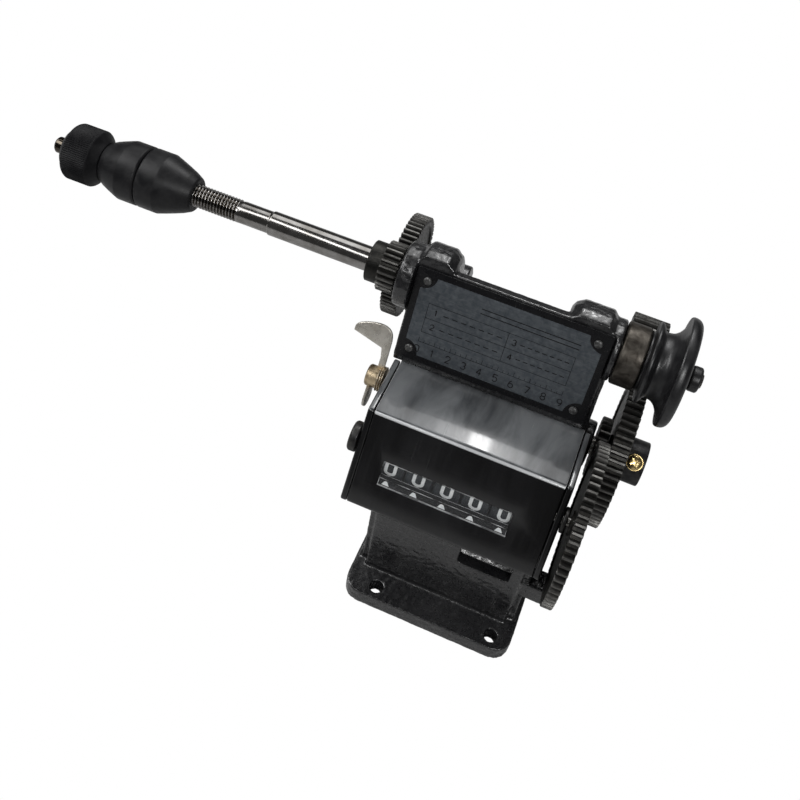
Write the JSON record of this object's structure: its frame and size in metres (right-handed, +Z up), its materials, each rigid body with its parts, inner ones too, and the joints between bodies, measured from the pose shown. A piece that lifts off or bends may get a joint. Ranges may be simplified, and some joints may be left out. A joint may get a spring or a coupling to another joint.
{
  "type": "coil winding machine",
  "caption": "Bench coil winder: a cast frame with a clamping spindle and cones, a gear train, a belt pulley and a turn counter with a butterfly reset knob.",
  "frame": {"origin": "centre of the foot's underside, on the surface it stands on", "axes": "+X along the spindle towards the pulley, +Y towards the back, +Z up"},
  "size_m": [0.3496, 0.1605, 0.1774],
  "materials": {
    "cast_paint": "glossy black hammered enamel over cast iron",
    "bright_steel": "turned and polished steel",
    "black_steel": "blackened steel",
    "satin_black": "satin black",
    "pulley_black": "satin black moulding",
    "gear_steel": "blackened steel, worn bright at the tooth tips",
    "worn_steel": "oiled, brownish turned steel",
    "case_black": "smooth black enamel",
    "clear_cover": "clear moulded cover",
    "digit_black": "black wheels with white figures",
    "nickel": "nickel plate",
    "brass": "bright brass",
    "plate_metal": "brushed plate with a black rim"
  },
  "bodies": {
    "frame": {"frame_casting": "cast_paint", "nameplate": "plate_metal", "rivet_1": "bright_steel", "rivet_2": "bright_steel", "rivet_3": "bright_steel", "rivet_4": "bright_steel", "counter_cover": "case_black", "counter_left_plate": "case_black", "counter_right_plate": "case_black", "window_cover": "clear_cover", "digit_axle": "bright_steel", "counter_end_cap": "black_steel"},
    "spindle": {"spindle": "bright_steel", "spindle_gear": "gear_steel", "collar": "worn_steel", "pulley": "pulley_black", "end_nut": "satin_black"},
    "inner_cone": {"inner_cone": "satin_black"},
    "outer_cone": {"outer_cone": "satin_black"},
    "clamp_nut": {"clamp_nut": "black_steel"},
    "countershaft": {"countershaft": "bright_steel", "countershaft_wheel": "gear_steel", "countershaft_pinion": "gear_steel"},
    "crank": {"crank_shaft": "bright_steel", "crank_gear": "gear_steel", "crank_pinion": "gear_steel", "crank_hub": "black_steel", "crank_screw": "brass", "screw_washer": "brass"},
    "counter_drive": {"counter_shaft": "bright_steel", "counter_gear": "gear_steel", "counter_gear_ring": "black_steel"},
    "digit_1": {"digit_wheel_1": "digit_black"},
    "digit_2": {"digit_wheel_2": "digit_black"},
    "digit_3": {"digit_wheel_3": "digit_black"},
    "digit_4": {"digit_wheel_4": "digit_black"},
    "digit_5": {"digit_wheel_5": "digit_black"},
    "reset_knob": {"reset_knob": "nickel"}
  },
  "joints": [
    {"name": "spindle_spin", "type": "hinge", "parent": "frame", "child": "spindle", "pos_m": [0, 0.0315, 0.15], "axis": [1, 0, 0], "continuous": true},
    {"name": "inner_cone_slide", "type": "slide", "parent": "spindle", "child": "inner_cone", "axis": [1, 0, 0], "range_m": [0, 0.038]},
    {"name": "outer_cone_slide", "type": "slide", "parent": "inner_cone", "child": "outer_cone", "axis": [1, 0, 0], "range_m": [-0.008, 0]},
    {"name": "clamp_nut_slide", "type": "slide", "parent": "outer_cone", "child": "clamp_nut", "axis": [1, 0, 0], "range_m": [-0.009, 0]},
    {"name": "countershaft_spin", "type": "hinge", "parent": "frame", "child": "countershaft", "pos_m": [0, 0.06179, 0.12544], "axis": [1, 0, 0], "continuous": true},
    {"name": "crank_spin", "type": "hinge", "parent": "frame", "child": "crank", "pos_m": [0, 0.02509, 0.08532], "axis": [1, 0, 0], "continuous": true},
    {"name": "counter_spin", "type": "hinge", "parent": "frame", "child": "counter_drive", "pos_m": [0, -0.0295, 0.092], "axis": [1, 0, 0], "continuous": true},
    {"name": "digit_1_spin", "type": "hinge", "parent": "frame", "child": "digit_1", "pos_m": [0, -0.02154, 0.07983], "axis": [1, 0, 0], "continuous": true},
    {"name": "digit_2_spin", "type": "hinge", "parent": "frame", "child": "digit_2", "pos_m": [0, -0.02154, 0.07983], "axis": [1, 0, 0], "continuous": true},
    {"name": "digit_3_spin", "type": "hinge", "parent": "frame", "child": "digit_3", "pos_m": [0, -0.02154, 0.07983], "axis": [1, 0, 0], "continuous": true},
    {"name": "digit_4_spin", "type": "hinge", "parent": "frame", "child": "digit_4", "pos_m": [0, -0.02154, 0.07983], "axis": [1, 0, 0], "continuous": true},
    {"name": "digit_5_spin", "type": "hinge", "parent": "frame", "child": "digit_5", "pos_m": [0, -0.02154, 0.07983], "axis": [1, 0, 0], "continuous": true},
    {"name": "reset_knob_spin", "type": "hinge", "parent": "frame", "child": "reset_knob", "pos_m": [0, 0.0025, 0.101], "axis": [1, 0, 0], "continuous": true}
  ],
  "couplings": [
    {"joint": "countershaft_spin", "follows": "spindle_spin", "ratio": -0.44444},
    {"joint": "crank_spin", "follows": "spindle_spin", "ratio": 0.2},
    {"joint": "counter_spin", "follows": "spindle_spin", "ratio": -0.075},
    {"joint": "digit_1_spin", "follows": "spindle_spin", "ratio": -0.1}
  ]
}
